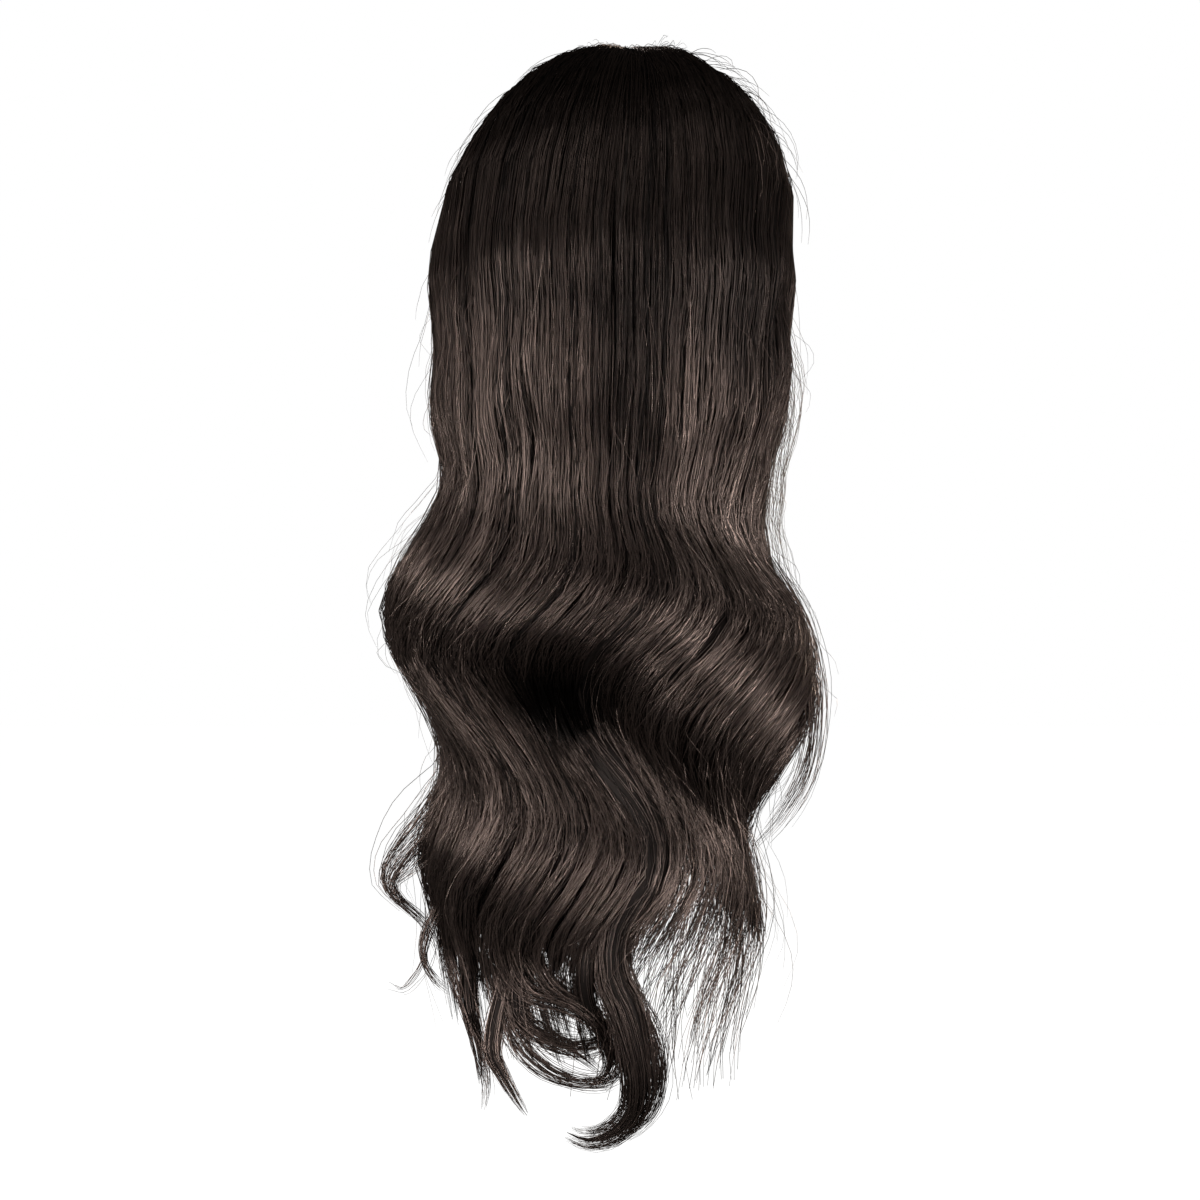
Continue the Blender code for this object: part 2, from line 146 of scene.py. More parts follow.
# Locks that leave the curtain. root is (around, share of HAIR_DROP); the course is
# shares of the length to the wearer's left, down and back, and a share of the girth.
FreeLock = namedtuple("FreeLock", "name root length girth strands course")
TAIL_LOCKS = (
    FreeLock("large_curl", (-0.085, 0.79), 0.117, 0.0114, 190, (
        (0.00, 0.00, 0.00, 0.90),
        (0.03, 0.21, -0.01, 0.95),
        (-0.03, 0.36, -0.02, 1.00),
        (-0.07, 0.54, -0.03, 0.91),
        (-0.09, 0.72, -0.06, 0.86),
        (-0.06, 0.86, -0.11, 0.73),
        (0.03, 0.96, -0.16, 0.66),
        (0.14, 1.00, -0.21, 0.55),
        (0.23, 0.97, -0.23, 0.38),
    )),
    FreeLock("inner_curl", (-0.04, 0.80), 0.080, 0.0056, 70, (
        (0.00, 0.00, 0.00, 1.00),
        (0.05, 0.26, -0.02, 1.00),
        (0.02, 0.51, -0.14, 1.00),
        (-0.09, 0.75, -0.22, 0.90),
        (-0.11, 0.90, -0.24, 0.70),
        (-0.02, 1.00, -0.24, 0.50),
        (0.07, 0.96, -0.23, 0.30),
    )),
    FreeLock("bridge_lock", (0.12, 0.82), 0.067, 0.0066, 60, (
        (0.00, 0.00, 0.00, 1.00),
        (0.07, 0.49, -0.03, 1.00),
        (-0.17, 0.69, -0.12, 0.83),
        (-0.40, 0.84, -0.22, 0.58),
        (-0.58, 1.00, -0.30, 0.33),
    )),
    FreeLock("centre_tail", (0.18, 0.835), 0.078, 0.0060, 70, (
        (0.00, 0.00, 0.00, 1.00),
        (0.12, 0.51, 0.07, 1.00),
        (0.05, 0.71, 0.09, 0.70),
        (-0.04, 0.87, 0.09, 0.50),
        (-0.12, 1.00, 0.07, 0.30),
    )),
    FreeLock("left_tail", (0.35, 0.83), 0.070, 0.0056, 60, (
        (0.00, 0.00, 0.00, 1.00),
        (0.00, 0.36, 0.12, 1.00),
        (-0.05, 0.59, 0.12, 0.78),
        (-0.09, 0.83, 0.09, 0.56),
        (-0.09, 1.00, 0.06, 0.28),
    )),
)

# Wisps that leave the outline: metres to the wearer's left, back and up, and how far
# the strands spread
Wisp = namedtuple("Wisp", "name strands course")
WISPS = (
    Wisp("right_loop", 60, (
        (-0.0830, 0.030, -0.2731, 0.004),
        (-0.0978, 0.030, -0.3005, 0.006),
        (-0.1065, 0.030, -0.3278, 0.007),
        (-0.1098, 0.030, -0.3579, 0.006),
        (-0.1054, 0.030, -0.3880, 0.006),
        (-0.0919, 0.035, -0.4122, 0.005),
        (-0.0752, 0.040, -0.4307, 0.004),
    )),
    Wisp("left_flick", 90, (
        (0.0730, 0.030, -0.3497, 0.005),
        (0.0806, 0.030, -0.3798, 0.008),
        (0.0948, 0.030, -0.4088, 0.012),
        (0.1140, 0.030, -0.4318, 0.010),
        (0.1233, 0.030, -0.4471, 0.006),
        (0.1184, 0.030, -0.4581, 0.003),
        (0.1036, 0.030, -0.4712, 0.003),
        (0.0948, 0.030, -0.4892, 0.003),
    )),
    Wisp("left_curl", 30, (
        (0.0942, 0.040, -0.4606, 0.003),
        (0.1012, 0.040, -0.4752, 0.003),
        (0.1028, 0.040, -0.4894, 0.002),
        (0.0974, 0.040, -0.5002, 0.002),
        (0.0887, 0.040, -0.5078, 0.002),
    )),
    Wisp("left_whisker", 8, (
        (0.0985, 0.040, -0.4742, 0.003),
        (0.1028, 0.040, -0.4915, 0.003),
        (0.1132, 0.040, -0.5056, 0.002),
        (0.1224, 0.040, -0.5035, 0.002),
    )),
    Wisp("upper_ring", 80, (
        (0.0603, 0.070, -0.4885, 0.005),
        (0.0548, 0.075, -0.5061, 0.005),
        (0.0415, 0.080, -0.5221, 0.005),
        (0.0204, 0.080, -0.5300, 0.005),
        (0.0020, 0.080, -0.5242, 0.004),
        (-0.0095, 0.080, -0.5105, 0.004),
    )),
    Wisp("lower_ring", 70, (
        (0.0630, 0.070, -0.4885, 0.005),
        (0.0559, 0.075, -0.5167, 0.005),
        (0.0425, 0.080, -0.5358, 0.005),
        (0.0220, 0.080, -0.5473, 0.004),
        (0.0031, 0.080, -0.5473, 0.004),
        (-0.0074, 0.080, -0.5389, 0.004),
    )),
    Wisp("cross_ring", 90, (
        (0.0440, 0.085, -0.4783, 0.005),
        (0.0323, 0.090, -0.4958, 0.005),
        (0.0146, 0.090, -0.5077, 0.005),
        (0.0010, 0.085, -0.5243, 0.004),
        (-0.0032, 0.080, -0.5421, 0.003),
        (0.0084, 0.080, -0.5526, 0.003),
    )),
    Wisp("nest_curl", 90, (
        (0.0580, 0.062, -0.4600, 0.005),
        (0.0540, 0.078, -0.4860, 0.008),
        (0.0430, 0.086, -0.5000, 0.007),
        (0.0250, 0.088, -0.5060, 0.006),
        (0.0100, 0.086, -0.5150, 0.005),
        (0.0040, 0.082, -0.5290, 0.004),
        (0.0110, 0.080, -0.5380, 0.003),
    )),
    Wisp("outer_hook", 70, (
        (0.0282, 0.085, -0.4678, 0.007),
        (0.0083, 0.090, -0.4905, 0.006),
        (-0.0136, 0.085, -0.5107, 0.005),
        (-0.0232, 0.080, -0.5342, 0.004),
        (-0.0228, 0.075, -0.5563, 0.004),
        (-0.0139, 0.070, -0.5733, 0.003),
        (0.0020, 0.070, -0.5812, 0.003),
    )),
    Wisp("left_thread", 26, (
        (0.0892, 0.050, -0.4835, 0.005),
        (0.0792, 0.055, -0.5123, 0.005),
        (0.0714, 0.060, -0.5328, 0.005),
        (0.0671, 0.060, -0.5515, 0.004),
        (0.0682, 0.060, -0.5675, 0.003),
    )),
)

# Free locks: metres of curtain they are gathered from and how wide it is there, then
# the least girth and the girth and lightness of the dark rod inside, dark as painted shade
LOCK_LEAD = 0.10
LOCK_FAN = 2.2
LEAST_GIRTH = 0.15
ROD_GIRTH = 1.45
ROD_LIGHTNESS = 0.1

# Mesh fineness
CORE_COLUMNS = 24
CORE_HEAD_ROWS = 12
CORE_FALL_ROWS = 44
HEAD_POINTS = 7
FALL_POINTS = 21
TONES = 64

# Core of a section: shares of the wall, then shares of HAIR_DROP at its lower edge
CORE_BASE = 0.06
CORE_TOP = 0.76
CORE_RIDGE = 0.05
CORE_TIP_SHORT = 0.065
CORE_RAGGED = 0.02
# The core's lightness, kept low as painted shade under the strands
CORE_LIGHTNESS = 0.12

# Locks within a section: how far they stray, in lock widths, how far they rise, in
# walls, where they end and how large their waves are
Locks = namedtuple("Locks", "width centre raised tips shift swing")
LOCK_STRAY = 0.2
LOCK_RISE = 0.05
LOCK_CROWN = 0.07
LOCK_TIPS = (-0.02, 0.05)
LOCK_SWING = (0.9, 1.1)
LOCK_TONE_SHARE = 0.35

# Shares of a lock's width and of the wall that its strands fill, at roots and ends
LOCK_SPREAD = (0.85, 0.62)
LOCK_THICKNESS = (0.04, 0.20)
GATHER_START = 0.55
END_PINCH = 0.85
END_START = 0.82
END_FLATNESS = 0.6
END_SCATTER = 0.032

# Layers of strands from the cap out, and the share of strands in each
LAYERS = (0.10, 0.64, 0.80, 0.94)
LAYER_SHARES = (0.07, 0.25, 0.38, 0.30)
DEPTH_SCATTER = 0.02

# Loose strands stray from their lock
LOOSE_TIPS = (-0.03, 0.02)
LOOSE_SPREAD = 1.6
LOOSE_FRIZZ = 2.5
ROOT_FRIZZ = 0.40

# Painted shade: the lightness painted on a buried strand, the depths between which it grows to
# full, and the lightness at the roots
BURIED_LIGHT = 0.02
BURIED_SPAN = (0.60, 0.34)
ROOT_LIGHT = 0.25

# Soft crimp round the back of the head
CRIMP_DROP = 0.116
CRIMP_LENGTH = 0.074
CRIMP_RISE = 0.0020
CRIMP_SHIFT = 0.013
CRIMP_LEAD = 0.02
CRIMP_TOP_FADE = 0.045
CRIMP_END = 0.31
CRIMP_END_FADE = 0.12

# Gaps where the hair lies apart: around, drops of top and bottom, and half width
Groove = namedtuple("Groove", "around top bottom width")
GROOVES = (
    Groove(0.004, 0.03, 0.26, 0.014),
    Groove(-0.175, 0.12, 0.21, 0.012),
    Groove(0.21, 0.17, 0.26, 0.008),
    Groove(-0.33, 0.19, 0.27, 0.008),
)
GROOVE_DEPTH = 0.22
GROOVE_TOP_FADE = 0.04
GROOVE_BOTTOM_FADE = 0.06

# Patches of the hair: around, drop, half width, half height and amount
Patch = namedtuple("Patch", "around drop width height amount")
HOLLOW = Patch(-0.01, 0.352, 0.19, 0.030, 1.0)
HOLLOW_DEPTH = 0.026
# Painted shade: patches where the hair's colour and shine are darkened, the first of them in the
# hollow
SHADE_PATCHES = (
    Patch(-0.01, 0.355, 0.25, 0.040, 1.00),
    Patch(-0.36, 0.125, 0.20, 0.045, 0.25),
    Patch(-0.04, 0.215, 0.13, 0.100, 0.68),
    Patch(-0.42, 0.165, 0.30, 0.050, 0.55),
    Patch(-0.30, 0.270, 0.06, 0.050, 0.50),
    Patch(0.16, 0.275, 0.12, 0.022, 0.45),
    Patch(0.42, 0.395, 0.10, 0.040, 0.45),
    Patch(-0.34, 0.395, 0.14, 0.040, 0.55),
    Patch(0.10, 0.140, 0.40, 0.018, 0.40),
)

# Painted shade over the top of the head: the share of the colour and shine left there, and how far
# below it they grow back
CROWN_SHADED_LIGHTNESS = 0.42
CROWN_SHADE_SPAN = 0.16

# The ends over the back sweep to the wearer's left below this drop
END_SWEEP = 0.06
END_SWEEP_DROP = 0.43
END_SWEEP_FADE = 0.09
END_SWEEP_REACH = 0.4
END_SWEEP_EDGE = 0.3

# How far roots stray over the parting behind the top of the head
CROWN_CROSSING = 0.003

# Thin ends: around, tips as shares of HAIR_DROP, and the drop they start from
THIN_ENDS_AROUND = (-0.70, -0.06)
THIN_ENDS_TIPS = (0.85, 0.955)
THIN_ENDS_TOP = 0.38

# Stray hairs: drops of their roots, lengths, distances they stand off and share of width
STRAY_ROOTS = (0.105, 0.46)
STRAY_LENGTHS = (0.02, 0.085)
STRAY_LIFTS = (0.002, 0.016)
STRAY_WIDTH = 0.55

# Hairs over the cap. starts and lengths are shares of the way from the parting to the
# widest level.
CrownHairs = namedtuple("CrownHairs", "count points reach starts lengths lifts")
CROWN_FUZZ = CrownHairs(200, 6, (0.20, 0.80), (0.0, 0.22), (0.03, 0.09), (0.10, 0.45))
CROWN_STRAYS = CrownHairs(110, 8, (0.35, 0.90), (0.12, 0.75), (0.10, 0.28), (0.10, 0.42))

# Hairs at the edge, coloured light as a painted glow of light through them: around, and drops of
# tops and ends
EDGE_HAIRS_AROUND = (-0.84, -0.62)
EDGE_HAIRS_TOPS = (0.102, 0.20)
EDGE_HAIRS_ENDS = (0.24, 0.335)

# Hair finish: noise that sets the strands apart, the share of the colour in the darkest
# and lightest ones, their roughness, and how far the shine takes on the hair's colour
NOISE_SPAN = (0.3, 0.7)
STRAND_TONES = (0.08, 2.75)
STRAND_GLOSS = (0.16, -0.10)
# Painted shade: the share of the root colour in the deepest shade and the lightness where it lies,
# then the lightness that takes the root colour
DEEPEST_SHADE_SHARE = 0.05
DEEPEST_SHADE_AT = 0.05
ROOT_AT = 0.25
TONE_SPACING = 0.73
HAIR_IOR = 1.55
COLOURED_SHINE = 0.85
SHINE_TINT = (1.0, 0.86, 0.80, 1)

# Camera: level with the middle of the hair, behind the wig
CAMERA_DISTANCE = 1.306
CAMERA_SIDE = 0.0073
CAMERA_HEIGHT = -0.295
CAMERA_LENS = 70

# Floor and light round the wig
FLOOR_GAP = 0.16
FLOOR_GLOW = 1.0
STAGE_SIZE = 14.0
AMBIENT = 0.05

# Soft lights: places, aims, sizes in metres, watts and colour
Light = namedtuple("Light", "name place aim size power colour")
WHITE = (1, 1, 1)
LIGHTS = (
    Light("key_left", (1.1, 1.4, -0.40), (0, 0, -0.28), (0.8, 0.9), 57, WHITE),
    Light("front_left", (0.9, -1.6, 0.25), (0, 0, -0.2), (0.9, 0.9), 34, WHITE),
    Light("front_right", (-1.0, -1.4, 0.10), (0, 0, -0.2), (0.9, 0.9), 34, (1, 0.93, 0.82)),
    Light("top_soft", (0.3, 1.3, 1.1), (0, 0, 0), (1.2, 1.2), 20, WHITE),
    Light("key_right", (-1.1, 1.4, -0.40), (0, 0, -0.28), (0.8, 0.9), 64, WHITE),
)


def smooth(value):
    """0 below 0, 1 above 1, and an even ease between, for numbers and arrays."""
    share = np.clip(value, 0, 1)
    return share * share * (3 - 2 * share)


def ease(value, start, length):
    """0 up to start, 1 from start + length, and an even ease between."""
    return smooth((value - start) / length)


def mix(start, end, share):
    return start + (end - start) * share


def read_levels(drop):
    """The curtain's level at each depth, as arrays in a Level."""
    fine = np.linspace(-0.1, 1.1, 481)
    kernel = np.hanning(LEVEL_SMOOTHING)
    kernel /= kernel.sum()
    keys = [row.drop for row in FALL_LEVELS]
    read = []
    for column in Level._fields:
        values = np.interp(fine, keys, [getattr(row, column) for row in FALL_LEVELS])
        padded = np.pad(values, LEVEL_SMOOTHING // 2, mode="edge")
        read.append(np.interp(drop, fine, np.convolve(padded, kernel, mode="valid")))
    return Level(*read)


def front_thinning(around):
    """Share of the thickness that is left towards the front edges."""
    edge = ease(np.abs(around), FRONT_EDGE_START, 1 - FRONT_EDGE_START)
    return mix(1, FRONT_EDGE_SHARE, edge)


def ring_wall(around):
    """Thickness of the hair at the head's widest level."""
    sideways = np.sin(around * TEMPLE_ANGLE) ** 2
    return mix(BACK_HAIR, SIDE_HAIR, sideways) * front_thinning(around)


def head_hair(around, share, depth, half):
    """Points in the hair over the cap, for arrays of one shape. share runs from the
    parting to the head's widest level and depth from the cap to the outside."""
    angle = mix(PART_CROWN_ANGLE, -PART_FRONT_ANGLE, np.abs(around))
    beside = (PART_OFFSET + half * PART_GAP / 2 + np.zeros_like(angle)) / HEAD_HALF_WIDTH
    level = np.sqrt(1 - beside * beside)
    root = np.stack([beside, np.sin(angle) * level, np.cos(angle) * level], -1)
    turn = around * TEMPLE_ANGLE
    ring = np.stack([np.sin(turn), np.cos(turn), np.zeros_like(turn)], -1)
    sweep = np.arccos(np.clip((root * ring).sum(-1), -1, 1))
    start = np.sin((1 - share) * sweep) / np.sin(sweep)
    end = np.sin(share * sweep) / np.sin(sweep)
    direction = root * start[..., None] + ring * end[..., None]
    direction[..., 2] += HAIRLINE_ARCH * np.sin(np.pi * share) * around**4
    direction /= np.linalg.norm(direction, axis=-1, keepdims=True)
    wall = mix(CROWN_HAIR, ring_wall(around), np.sin(share * np.pi / 2))
    wall = wall * (1 - CROWN_LEAN * 2 * direction[..., 0] * direction[..., 2])
    thinned = smooth(np.abs(around) * ROOT_THINNING)
    root_wall = mix(ROOT_HAIR_CROWN, ROOT_HAIR_FRONT, thinned)
    wall = mix(root_wall, wall, smooth(share / ROOT_SPAN))
    grown = COVER + wall * depth
    return np.stack(
        [
            (HEAD_HALF_WIDTH + grown) * direction[..., 0],
            (HEAD_HALF_LENGTH + grown) * direction[..., 1],
            (CROWN_RISE + grown) * direction[..., 2] - CROWN_RISE,
        ],
        -1,
    )


def patch(spot, around, z):
    """Share of a patch that reaches a place, 1 at its middle."""
    away = ((around - spot.around) / spot.width) ** 2 + ((-z - spot.drop) / spot.height) ** 2
    return spot.amount * np.exp(-(away**1.5))


def lying_apart(around, z):
    """How deep the hair lies in a gap, from 0 to 1."""
    sunk = np.zeros(np.broadcast(around, z).shape)
    for groove in GROOVES:
        within = np.exp(-(((around - groove.around) / groove.width) ** 2))
        above = ease(-z, groove.top, GROOVE_TOP_FADE)
        below = ease(z, -groove.bottom, GROOVE_BOTTOM_FADE)
        sunk = np.maximum(sunk, within * above * below)
    return sunk


def crimp(around, z):
    """How far the soft crimp lifts the hair round the back of the head."""
    uneven = CRIMP_SHIFT * (np.sin(9 * around + 0.6) + 0.7 * np.sin(23 * around + 2.0))
    phase = 2 * np.pi * (-z - CRIMP_DROP + uneven) / CRIMP_LENGTH
    above = ease(-z, CROWN_RISE - CRIMP_LEAD, CRIMP_TOP_FADE)
    below = ease(z, -CRIMP_END, CRIMP_END_FADE)
    return CRIMP_RISE * np.cos(phase) * above * below


def end_sweep(around, z):
    """How far round to the wearer's left the ends over the back sweep."""
    behind = 1 - ease(np.abs(around), END_SWEEP_REACH, END_SWEEP_EDGE)
    return END_SWEEP * ease(-z, END_SWEEP_DROP, END_SWEEP_FADE) * behind


def fall_hair(around, z, depth, shift=0.0, swing=1.0):
    """Points in the hair that hangs below the head's widest level. shift moves the
    wave down the hair, in metres, and swing is a share of its size."""
    level = read_levels((-z - CROWN_RISE) / (HAIR_DROP - CROWN_RISE))
    hung = ease(-z, CROWN_RISE, FALL_BLEND)
    crest = CREST_DROP - CREST_SLANT * around + CREST_BOW * around**2 + shift
    phase = 2 * np.pi * (-z - crest) / WAVE_LENGTH
    grown = level.wave * swing
    bulge = WAVE_BULGE * grown * np.cos(phase) + crimp(around, z)
    sway = grown * WAVE_SWAY * np.sin(phase) + level.wave * WAVE_DRIFT * (1 - around**2)
    turn = (around + end_sweep(around, z)) * TEMPLE_ANGLE + sway / FALL_HALF_WIDTH
    hollow = HOLLOW_DEPTH * patch(HOLLOW, around, z)
    wall = mix(ring_wall(around), FALL_WALL * level.wall * front_thinning(around), hung)
    behind = FALL_BACK_REACH * level.back
    before = FALL_FRONT_REACH * level.front
    facing = ease(np.cos(turn), -0.25, 0.5)
    below_ring = (-CROWN_RISE - z) / LOWER_HEAD_REACH
    narrowing = np.sqrt(np.clip(1 - below_ring**2, 0, 1))
    placed = []
    for half_head, reach in (
        (HEAD_HALF_WIDTH, FALL_HALF_WIDTH * level.side),
        (HEAD_HALF_LENGTH, mix(before, behind, facing)),
    ):
        outer = mix(half_head + COVER + ring_wall(around), reach, hung)
        inner = np.maximum(outer - wall, half_head * narrowing + COVER)
        outer = np.maximum(outer, inner + ROOT_HAIR_FRONT)
        placed.append(mix(inner, outer, depth) + bulge - hollow * depth)
    lean = FALL_LEAN * level.lean * hung * np.sin(turn) ** 2
    return np.stack([lean + placed[0] * np.sin(turn), placed[1] * np.cos(turn), z], -1)


def make_object(name, mesh, material):
    """Puts a finished mesh of hair into the scene on the wig's one body."""
    mesh.materials.append(material)
    made = bpy.data.objects.new(name, mesh)
    bpy.context.scene.collection.objects.link(made)
    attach(made, "root")
    return made


def strand_object(name, paths, widths, tones, lightness, material, sides=3):
    """Joined closed strands of a few sides. paths is (strands, points, 3), widths and
    lightness are (strands, points), and tones has a whole number for each strand."""
    count, points, _ = paths.shape
    along = np.gradient(paths, axis=1)
    along /= np.linalg.norm(along, axis=-1, keepdims=True) + 1e-12
    outward = paths * (1, 1, 0.2) + (0, 0, 0.02)
    side = np.cross(along, outward)
    side /= np.linalg.norm(side, axis=-1, keepdims=True) + 1e-12
    up = np.cross(side, along)
    corner = np.arange(sides) * 2 * np.pi / sides + np.pi / 2
    ring = np.cos(corner)[:, None] * side[:, :, None] + np.sin(corner)[:, None] * up[:, :, None]
    verts = paths[:, :, None] + ring * widths[:, :, None, None] / 2
    index = np.arange(count * points * sides).reshape(count, points, sides)
    here, beyond = index[:, :-1], index[:, 1:]
    quads = [here, beyond, np.roll(beyond, -1, 2), np.roll(here, -1, 2)]
    quads = np.stack(quads, -1).reshape(-1, 4)
    ends = np.concatenate([index[:, 0], index[:, -1, ::-1]])
    loops = np.concatenate([quads.ravel(), ends.ravel()])
    end_starts = quads.size + np.arange(len(ends)) * sides
    starts = np.concatenate([np.arange(len(quads)) * 4, end_starts])
    mesh = bpy.data.meshes.new(name)
    mesh.vertices.add(verts.size // 3)
    mesh.vertices.foreach_set("co", verts.astype(np.float32).ravel())
    mesh.loops.add(len(loops))
    mesh.loops.foreach_set("vertex_index", loops.astype(np.int32))
    mesh.polygons.add(len(starts))
    mesh.polygons.foreach_set("loop_start", starts.astype(np.int32))
    mesh.update(calc_edges=True)
    mesh.shade_smooth()
    layer = mesh.uv_layers.new(name="OFBake")
    tone = (tones[loops // (points * sides)] + 0.5) / TONES
    lightness = np.broadcast_to(lightness, (count, points)).ravel()[loops // sides]
    layer.data.foreach_set("uv", np.stack([tone, lightness], -1).astype(np.float32).ravel())
    return make_object(name, mesh, material)


def waver(rng, count, points, cycles):
    """Smooth random bends between -1 and 1, one row for each strand."""
    along = np.linspace(0, 1, points)
    bends = np.zeros((count, points))
    for part in (1.0, 2.3):
        turns = cycles * part * rng.uniform(0.7, 1.3, (count, 1))
        bends += np.sin(2 * np.pi * (turns * along + rng.random((count, 1)))) / (1 + part)
    return bends


def strand_widths(rng, paths, width, scatter, shape):
    """Widths down each strand. scatter is the least and most share of the width, and
    shape its share at the root, low down and at the tip."""
    count, points, _ = paths.shape
    root, low, tip = shape
    taper = np.interp(np.linspace(0, 1, points), (0, 0.12, 0.72, 1), (root, 1, low, tip))
    return width * rng.uniform(*scatter, (count, 1)) * taper


def finished(rng, paths, width, scatter, shape, lightness=(0.4, 0.9)):
    """Paths with their widths, and a tone and a lightness of its own for each strand."""
    count = len(paths)
    widths = strand_widths(rng, paths, width, scatter, shape)
    return paths, widths, rng.integers(0, TONES, count), rng.uniform(*lightness, (count, 1))


def lay_locks(section, settings, rng):
    """Where the locks of a section lie and end, and how their waves differ."""
    locks = settings.locks_per_section
    width = (section.end - section.start) / locks
    centre = section.start + width * (np.arange(locks) + 0.5)
    centre = centre + rng.uniform(-LOCK_STRAY, LOCK_STRAY, locks) * width
    raised = rng.uniform(-LOCK_RISE, LOCK_RISE, locks)
    across = (centre - section.start) / (section.end - section.start)
    third = np.clip((across * 3).astype(int), 0, 2)
    tips = np.array(section.tips)[third] + rng.uniform(*LOCK_TIPS, locks)
    shift = rng.uniform(-1, 1, locks) * settings.lock_scatter
    swing = rng.uniform(*LOCK_SWING, locks)
    return Locks(width, centre, raised, tips, shift, swing)


def shaded(lit, around, z):
    """The lightness of hair with painted shade over the top of the head and in the shade patches.
    """
    # Painted shade over the top of the head
    lit = lit * mix(CROWN_SHADED_LIGHTNESS, 1.0, ease(-z, CROWN_RISE, CROWN_SHADE_SPAN))
    # Painted shade in the patches
    for spot in SHADE_PATCHES:
        lit = lit * (1 - patch(spot, around, z))
    return lit


def section_strands(section, settings, rng):
    """Paths and widths of a section's strands, gathered into locks."""
    locks = lay_locks(section, settings, rng)
    number = settings.locks_per_section
    count = number * settings.strands_per_lock
    lock = np.repeat(np.arange(number), settings.strands_per_lock)
    points = HEAD_POINTS + FALL_POINTS
    run = np.linspace(0, 1, points)

    reach = np.sqrt(rng.random((count, 1)))
    bearing = rng.uniform(0, 2 * np.pi, (count, 1))
    beside = reach * np.cos(bearing)
    above = reach * np.sin(bearing)
    layer = rng.choice(LAYERS, (count, 1), p=LAYER_SHARES)
    loose = rng.random((count, 1)) < settings.loose_share
    tip = locks.tips[lock, None] - np.abs(rng.normal(0, END_SCATTER, (count, 1)))
    tip = np.where(loose, tip + rng.uniform(*LOOSE_TIPS, (count, 1)), tip)
    end = HAIR_DROP * tip

    hang = [np.linspace(0, 0.25, 6)[1:-1], np.linspace(0.25, 1, FALL_POINTS - 4)]
    hang = np.concatenate(hang) ** rng.uniform(0.93, 1.07, (count, 1))
    z = np.concatenate([np.zeros((count, HEAD_POINTS)), -mix(CROWN_RISE, end, hang)], 1)
    ended = -z / end
    gathered = ease(ended, GATHER_START, 1 - GATHER_START)
    pinch = mix(1.0, END_PINCH, gathered) * np.where(loose, LOOSE_SPREAD, 1.0)
    spread = beside * locks.width * mix(*LOCK_SPREAD, gathered)
    around = locks.centre[lock, None] + spread * pinch
    crowned = locks.raised[lock, None] - LOCK_CROWN * (beside * 1.1) ** 2
    depth = layer + crowned + above * mix(*LOCK_THICKNESS, gathered)
    depth = depth + rng.normal(0, DEPTH_SCATTER, (count, 1))
    # Painted shade: strands that lie deeper under the others get less lightness
    lit = mix(BURIED_LIGHT, 1.0, ease(depth, *BURIED_SPAN))
    flat_end = 0.5 + (depth - 0.5) * END_FLATNESS
    depth = mix(depth, flat_end, ease(ended, END_START, 1 - END_START))
    frizz = mix(ROOT_FRIZZ, 1.0, smooth(run / 0.9)) * np.where(loose, LOOSE_FRIZZ, 1.0)
    frizz = settings.frizz * frizz
    around = around + waver(rng, count, points, 5) * frizz / FALL_HALF_WIDTH
    depth = depth + waver(rng, count, points, 6) * frizz / FALL_WALL * 0.7
    half = 1 if section.start >= 0 else -1
    around = half * np.clip(half * around, 0.001, 1.02)
    uncrossed = ease(np.abs(around[:, :HEAD_POINTS]), 0.3, 0.3)
    crossing = rng.normal(0, CROWN_CROSSING, (count, 1)) * (1 - uncrossed)

    share = np.linspace(0, 1, HEAD_POINTS) ** rng.uniform(0.85, 1.2, (count, 1))
    z[:, :HEAD_POINTS] = -CROWN_RISE * (1 - np.cos(share * np.pi / 2))
    sunk = GROOVE_DEPTH * ease(depth, 0.6, 0.2) * lying_apart(around, z)
    depth = np.clip(depth - sunk, 0.02, 1.10)
    rising = depth[:, :HEAD_POINTS] * mix(0.5, 1, smooth(share / 0.12))
    sides = half + crossing / PART_GAP * 2
    head = head_hair(around[:, :HEAD_POINTS], share, rising, sides)
    fall = fall_hair(
        around[:, HEAD_POINTS:],
        z[:, HEAD_POINTS:],
        depth[:, HEAD_POINTS:],
        locks.shift[lock, None],
        locks.swing[lock, None],
    )
    paths = np.concatenate([head, fall], 1)
    widths = strand_widths(rng, paths, settings.strand_width, (0.75, 1.2), (0.6, 0.95, 0.45))
    lock_tone = rng.integers(0, TONES, number)[lock]
    alike = rng.random(count) < LOCK_TONE_SHARE
    tones = np.where(alike, lock_tone, rng.integers(0, TONES, count))
    return paths, widths, tones, shaded(lit, around, z) * mix(ROOT_LIGHT, 1.0, run)


def smooth_course(points, steps):
    """Even steps along a Catmull-Rom curve through rows of numbers."""
    points = np.asarray(points, float)
    padded = np.vstack([points[0] * 2 - points[1], points, points[-1] * 2 - points[-2]])
    place = np.linspace(0, len(points) - 1, steps)
    span = np.minimum(place.astype(int), len(points) - 2)
    t = (place - span)[:, None]
    a, b, c, d = (padded[span + n] for n in range(4))
    bend = (2 * a - 5 * b + 4 * c - d) * t**2 + (3 * b - a - 3 * c + d) * t**3
    return 0.5 * (2 * b + (c - a) * t + bend)


